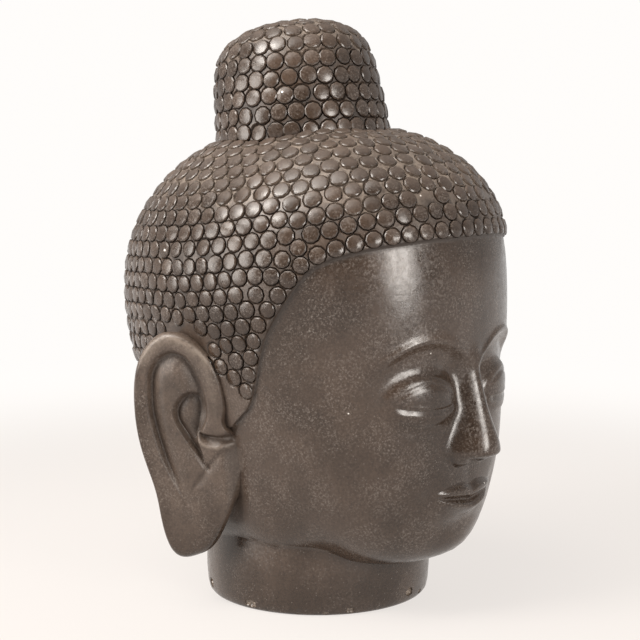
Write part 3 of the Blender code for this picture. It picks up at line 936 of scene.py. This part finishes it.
def markSurface(target):
    # painted shade with dirt in the grooves, the ear's channels and along the hair's edge, dust on top,
    # pale powder where it's worn with painted highlights on the ear's rims, and a tone of its own for each
    # disc
    mesh = target.data
    points = pointsOf(mesh)
    normals = np.empty(len(points) * 3, np.float32)
    mesh.vertices.foreach_get("normal", normals)
    up = normals.reshape(-1, 3)[:, 2]
    inHair = (intoHair(points) > 0.2) | (points[:, 2] > 255)
    own = nearestDisc(points)
    inverse = np.array([np.array(place.inverted()) for place in places])
    local = np.einsum("nij,nj->ni", inverse[own][:, :3, :3], points) + inverse[own][:, :3, 3]
    reach, height = np.hypot(local[:, 0], local[:, 1]), local[:, 2]
    onDisc = (reach < disc["radius"] + 0.1) & inHair
    tones = np.array([chance.random() for _ in places])
    tone = np.where(onDisc, tones[own], 0.5)
    crown = ease(np.array([place[2][2] for place in places])[own], 0.3, 0.72)
    # the grooves round the discs and the ground between them are darkened: painted shade as well as dirt,
    # less of it on the crown
    inGroove, onGround = 1 - np.clip((height + 0.7) / 1.0, 0, 1), np.clip((0.05 - height) / 0.6, 0, 1)
    dirt = np.where(onDisc, inGroove, onGround)
    dirt *= inHair & (reach < disc["radius"] * 1.5)
    powder = np.maximum(0.7 * dirt, 0.3 * (~onDisc & inHair)) * crown
    dirt *= 0.8 - 0.7 * crown
    u, v, lift = earPlace(points)
    nearDisc = (reach < disc["radius"] * 1.3) & (np.abs(height) < 2) & inHair
    inEar = ease(u, -4, 1) * ease(47.5 - u, 0, 3) * ease(v, 48, 56) * ease(150.5 - v, 0, 3) * ~nearDisc
    # the ear's channels are darkened with painted shade as well as dirt
    dirt = np.maximum(dirt, 0.36 * inEar * ease(ear["thick"] - lift, 0.3, 3.4) * (lift > -4))
    # a thin painted shadow along the foot of the hair's step
    foot = np.exp(-(((intoHair(points) + hair["edge"]) / 0.7) ** 2))
    foot *= (points[:, 2] > 95) * (inEar < 0.1)
    dirt = np.maximum(dirt, 0.6 * foot)
    dust = np.maximum(0.62 * ease(up, 0.35, 0.85), 0.3 * ~onDisc) * inHair
    dust = np.maximum(dust, 0.62 * inEar)
    # the ear's pale rims are partly painted highlights
    powder = np.maximum(powder, np.maximum(earWearAndHighlights(u, v) * (lift > 0), wornNeck(points)))
    for name, values in (("dirt", dirt), ("tone", tone), ("dust", dust), ("powder", powder)):
        mesh.attributes.new(name, "FLOAT", "POINT").data.foreach_set("value", values.astype(np.float32))


def steepEdges(mesh, degrees):
    mesh.set_sharp_from_angle(angle=math.radians(degrees))
    steep = np.zeros(len(mesh.edges), bool)
    mesh.attributes["sharp_edge"].data.foreach_get("value", steep)
    return steep


def smoothSkin(mesh):
    # crisp edges on the discs, and soft ones on the face and ears
    mesh.shade_smooth()
    ends = np.empty(len(mesh.edges) * 2, np.int32)
    mesh.edges.foreach_get("vertices", ends)
    crisp = onHair(pointsOf(mesh), 2)[ends.reshape(-1, 2)].all(1)
    veryCrisp = steepEdges(mesh, 70)
    mesh.attributes["sharp_edge"].data.foreach_set("value", steepEdges(mesh, 30) & (crisp | veryCrisp))


markSurface(head)
smoothSkin(head.data)
head.data.transform(Matrix.Scale(unit, 4))
report("surface marked")

# the head has its real size now, so lengths from here on are in metres
stoneLook = {
    "color": (0.0268, 0.0153, 0.0088),
    "paleColor": (0.051, 0.0322, 0.0215),
    "speckColor": (0.183, 0.158, 0.139),
    "fleckColor": (0.85, 0.80, 0.74),
    # painted shade and dirt in the grooves, the ear's channels and along the hair's edge
    "dirtAndShadeColor": (0.0215, 0.0132, 0.0084),
    "dustColor": (0.095, 0.0655, 0.0475),
    # pale powder and wear, with painted highlights on the ear's rims
    "powderAndHighlightColor": (0.23, 0.186, 0.15),
    "polish": 0.22,  # roughness of the polished skin
    "dull": 0.7,  # roughness of dusty and unpolished stone
    "specular": 0.58,
    "bump": (0.35, 0.00025),  # strength, and height in metres
    # noise scales: a higher one is finer
    "clouds": 26,
    "patches": 55,
    "waves": 90,
    "dustPatches": 140,
    "flecks": 170,
    "polishPatches": 300,
    "powderPatches": 420,
    "grain": 860,
    "specks": 1150,
}


class Nodes:
    # short ways to add and join a material's nodes
    def __init__(self, material):
        material.use_nodes = True
        self.tree = material.node_tree
        self.shader = self.tree.nodes["Principled BSDF"]
        self.place = self.tree.nodes.new("ShaderNodeTexCoord").outputs["Object"]

    def add(self, kind, inputs, settings=None):
        made = self.tree.nodes.new("ShaderNode" + kind)
        for key, value in (settings or {}).items():
            setattr(made, key, value)
        for key, value in inputs.items():
            if isinstance(value, bpy.types.NodeSocket):
                self.tree.links.new(value, made.inputs[key])
            else:
                made.inputs[key].default_value = value
        return made

    def noise(self, scale, detail=2.0, roughness=0.5):
        inputs = {"Vector": self.place, "Scale": scale, "Detail": detail, "Roughness": roughness}
        return self.add("TexNoise", inputs).outputs[0]

    def attribute(self, name):
        return self.add("Attribute", {}, {"attribute_name": name}).outputs["Fac"]

    def between(self, value, low, high, to=(0.0, 1.0)):
        inputs = {"Value": value, "From Min": low, "From Max": high, "To Min": to[0], "To Max": to[1]}
        return self.add("MapRange", inputs, {"interpolation_type": "SMOOTHSTEP"}).outputs[0]

    def math(self, operation, one, two=0.0):
        return self.add("Math", {0: one, 1: two}, {"operation": operation}).outputs[0]

    def mix(self, share, one, two, blend="MIX"):
        made = self.add("Mix", {0: share}, {"data_type": "RGBA", "blend_type": blend})
        for index, value in ((6, one), (7, two)):
            if isinstance(value, bpy.types.NodeSocket):
                self.tree.links.new(value, made.inputs[index])
            else:
                made.inputs[index].default_value = (*value, 1)
        return made.outputs[2]

    def cells(self, scale):
        made = self.add("TexVoronoi", {"Vector": self.place, "Scale": scale})
        return made.outputs["Distance"], made.outputs["Color"]


def makeStone():
    stone = bpy.data.materials.new("darkPolishedStone")
    n = Nodes(stone)
    clouds = n.noise(stoneLook["clouds"], 3, 0.6)
    patches = n.noise(stoneLook["patches"], 2, 0.5)
    grain = n.noise(stoneLook["grain"], 3, 0.7)
    dirt, tone, dust, powder = (n.attribute(name) for name in ("dirt", "tone", "dust", "powder"))

    color = n.mix(n.between(clouds, 0.3, 0.7), stoneLook["color"], stoneLook["paleColor"])
    speckle = n.math("MULTIPLY", n.between(grain, 0.48, 0.72), n.between(patches, 0.36, 0.66, (0.15, 0.85)))
    above = n.between(n.add("SeparateXYZ", {0: n.place}).outputs[2], 0.03, 0.05, (0.4, 1))
    speckle = n.math("MULTIPLY", speckle, above)
    color = n.mix(n.math("MULTIPLY", speckle, 0.62), color, stoneLook["speckColor"])
    gap, cell = n.cells(stoneLook["specks"])
    rarity = n.between(patches, 0.35, 0.65, (0.97, 0.72))
    chosen = n.between(n.add("SeparateColor", {0: cell}).outputs[0], rarity, 1.0, (0, 4))
    speck = n.math("MULTIPLY", n.between(gap, 0.42, 0.2), n.math("MINIMUM", chosen, 0.55))
    color = n.mix(speck, color, stoneLook["speckColor"])
    shade = n.math("ADD", n.math("MULTIPLY", n.between(grain, 0.3, 0.55), 0.35), 0.65)
    shade = n.math("MULTIPLY", shade, n.between(tone, 0, 1, (0.88, 1.14)))
    dusty = n.between(n.noise(stoneLook["dustPatches"], 3, 0.6), 0.3, 0.7, (0.35, 0.9))
    color = n.mix(n.math("MULTIPLY", dust, dusty), color, stoneLook["dustColor"])
    grey = n.add("CombineColor", {0: shade, 1: shade, 2: shade}).outputs[0]
    color = n.mix(1.0, color, grey, "MULTIPLY")
    gap, cell = n.cells(stoneLook["flecks"])
    picked = n.between(n.add("SeparateColor", {0: cell}).outputs[0], 0.955, 0.96)
    fleck = n.math("MULTIPLY", n.between(gap, 0.13, 0.07), picked)
    color = n.mix(fleck, color, stoneLook["fleckColor"])
    # painted shade and dirt, darkening the grooves, the ear's channels and the hair's edge
    color = n.mix(n.between(dirt, 0.05, 0.9), color, stoneLook["dirtAndShadeColor"])
    # pale powder and wear, and painted highlights on the ear's rims
    scattered = n.between(n.noise(stoneLook["powderPatches"], 3, 0.6), 0.3, 0.6, (0.25, 1))
    color = n.mix(n.math("MULTIPLY", powder, scattered), color, stoneLook["powderAndHighlightColor"])
    n.tree.links.new(color, n.shader.inputs["Base Color"])

    polish = (stoneLook["polish"] - 0.06, stoneLook["polish"] + 0.10)
    rough = n.between(n.noise(stoneLook["polishPatches"], 3, 0.6), 0.25, 0.75, polish)
    dullness = n.math("MAXIMUM", dust, n.math("MAXIMUM", dirt, n.math("MULTIPLY", speckle, 0.4)))
    rough = n.add("Mix", {0: dullness, 2: rough, 3: stoneLook["dull"]}, {"data_type": "FLOAT"}).outputs[0]
    n.tree.links.new(rough, n.shader.inputs["Roughness"])
    n.shader.inputs["Specular IOR Level"].default_value = stoneLook["specular"]

    waves = n.noise(stoneLook["waves"], 2, 0.5)
    height = n.math("ADD", n.math("MULTIPLY", waves, 2.5), n.math("MULTIPLY", grain, 0.6))
    strength, distance = stoneLook["bump"]
    bump = n.add("Bump", {"Strength": strength, "Distance": distance, "Height": height})
    n.tree.links.new(bump.outputs[0], n.shader.inputs["Normal"])
    return stone


head.data.materials.clear()
head.data.materials.append(makeStone())

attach(head, "root")
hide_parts("buddha_head")


def fromAngles(azimuth, elevation):
    a, e = math.radians(azimuth), math.radians(elevation)
    return math.sin(a) * math.cos(e), -math.cos(a) * math.cos(e), math.sin(e)


studio = {
    "cameraAzimuth": math.radians(-50),
    "cameraReach": 0.87,  # from the neck's middle
    "cameraHeight": 0.265,
    "cameraDown": math.radians(7.3),
    "lens": 86.9,
    "shift": 0.003,
    "wallColor": (1.0, 0.98, 0.96),
    "floorColor": (1.0, 0.95, 0.91),
    "ambient": 0.6,
    "behindCamera": 0.35,  # share of the ambient light that comes from there
    "lampColor": (1, 0.95, 0.895),
    "boxes": [  # name, the way to it from the head's middle, its reach, size and power
        ("front box", fromAngles(-11, 12), 1.3, (0.42, 0.6), 12),
        ("side box", fromAngles(-106, 43), 1.3, (0.5, 0.44), 13.2),
        ("low side box", fromAngles(-118, 6), 1.3, (0.7, 0.9), 15),
        ("top box", (-0.4, 0.1, 0.9), 1.4, (0.9, 0.9), 16),
    ],
}
toCamera = Vector((math.sin(studio["cameraAzimuth"]), -math.cos(studio["cameraAzimuth"]), 0))


def makeFloor():
    # lit near the head, and as bright as the wall far out
    bm = bmesh.new()
    bmesh.ops.create_circle(bm, cap_ends=True, segments=96, radius=12)
    floor = newObject("floor", bm)
    floor.location.z = headLow.z
    paper = bpy.data.materials.new("paleFloor")
    n = Nodes(paper)
    far = n.add("VectorMath", {0: n.place}, {"operation": "LENGTH"}).outputs["Value"]
    near = n.between(far, 0.2, 0.9, (1, 0))
    color = n.mix(near, (0, 0, 0), (0.13, 0.123, 0.118))
    n.tree.links.new(color, n.shader.inputs["Base Color"])
    n.shader.inputs["Roughness"].default_value = 1
    n.shader.inputs["Specular IOR Level"].default_value = 0
    tint = n.mix(near, studio["wallColor"], studio["floorColor"])
    n.tree.links.new(tint, n.shader.inputs["Emission Color"])
    glow = n.between(near, 0, 1, (1, 0.73))
    n.tree.links.new(glow, n.shader.inputs["Emission Strength"])
    floor.data.materials.append(paper)


def softBox(name, way, reach, size, power):
    data = bpy.data.lights.new(name, "AREA")
    data.shape = "RECTANGLE"
    data.size, data.size_y = size
    data.energy = power
    data.color = studio["lampColor"]
    lamp = bpy.data.objects.new(name, data)
    bpy.context.scene.collection.objects.link(lamp)
    middle = Vector((0, 0, (headLow.z + headHigh.z) / 2))
    lamp.location = middle + Vector(way).normalized() * reach
    lamp.rotation_euler = (middle - lamp.location).to_track_quat("-Z", "Y").to_euler()
    lamp.visible_camera = False


def makeLights():
    # soft boxes, and an even room light that is weaker from one fixed side
    for box in studio["boxes"]:
        softBox(*box)
    world = bpy.data.worlds.new("studio")
    bpy.context.scene.world = world
    world.use_nodes = True
    tree = world.node_tree
    seen, light = tree.nodes["Background"], tree.nodes.new("ShaderNodeBackground")
    mix, path = tree.nodes.new("ShaderNodeMixShader"), tree.nodes.new("ShaderNodeLightPath")
    for shade, strength in ((seen, 1.0), (light, studio["ambient"])):
        shade.inputs["Color"].default_value = (*studio["wallColor"], 1)
        shade.inputs["Strength"].default_value = strength
    facing = tree.nodes.new("ShaderNodeVectorMath")
    facing.operation = "DOT_PRODUCT"
    facing.inputs[1].default_value = toCamera
    tree.links.new(tree.nodes.new("ShaderNodeTexCoord").outputs["Generated"], facing.inputs[0])
    dim = tree.nodes.new("ShaderNodeMapRange")
    dim.interpolation_type = "SMOOTHSTEP"
    weakest = studio["ambient"] * studio["behindCamera"]
    limits = {"From Min": 0.2, "From Max": 0.9, "To Min": studio["ambient"], "To Max": weakest}
    for key, value in limits.items():
        dim.inputs[key].default_value = value
    tree.links.new(facing.outputs["Value"], dim.inputs["Value"])
    tree.links.new(dim.outputs[0], light.inputs["Strength"])
    tree.links.new(path.outputs["Is Camera Ray"], mix.inputs[0])
    tree.links.new(light.outputs[0], mix.inputs[1])
    tree.links.new(seen.outputs[0], mix.inputs[2])
    tree.links.new(mix.outputs[0], tree.nodes["World Output"].inputs["Surface"])


def makeCamera():
    camera = bpy.data.objects.new("camera", bpy.data.cameras.new("camera"))
    bpy.context.scene.collection.objects.link(camera)
    down = studio["cameraDown"]
    camera.location = toCamera * studio["cameraReach"] + Vector((0, 0, studio["cameraHeight"]))
    look = Vector((-toCamera.x * math.cos(down), -toCamera.y * math.cos(down), -math.sin(down)))
    camera.rotation_euler = look.to_track_quat("-Z", "Y").to_euler()
    camera.data.sensor_width = 36
    camera.data.lens = studio["lens"]
    camera.data.shift_x = studio["shift"]
    bpy.context.scene.camera = camera
    bpy.context.scene.view_settings.view_transform = "Standard"


makeFloor()
makeLights()
makeCamera()
report("studio")
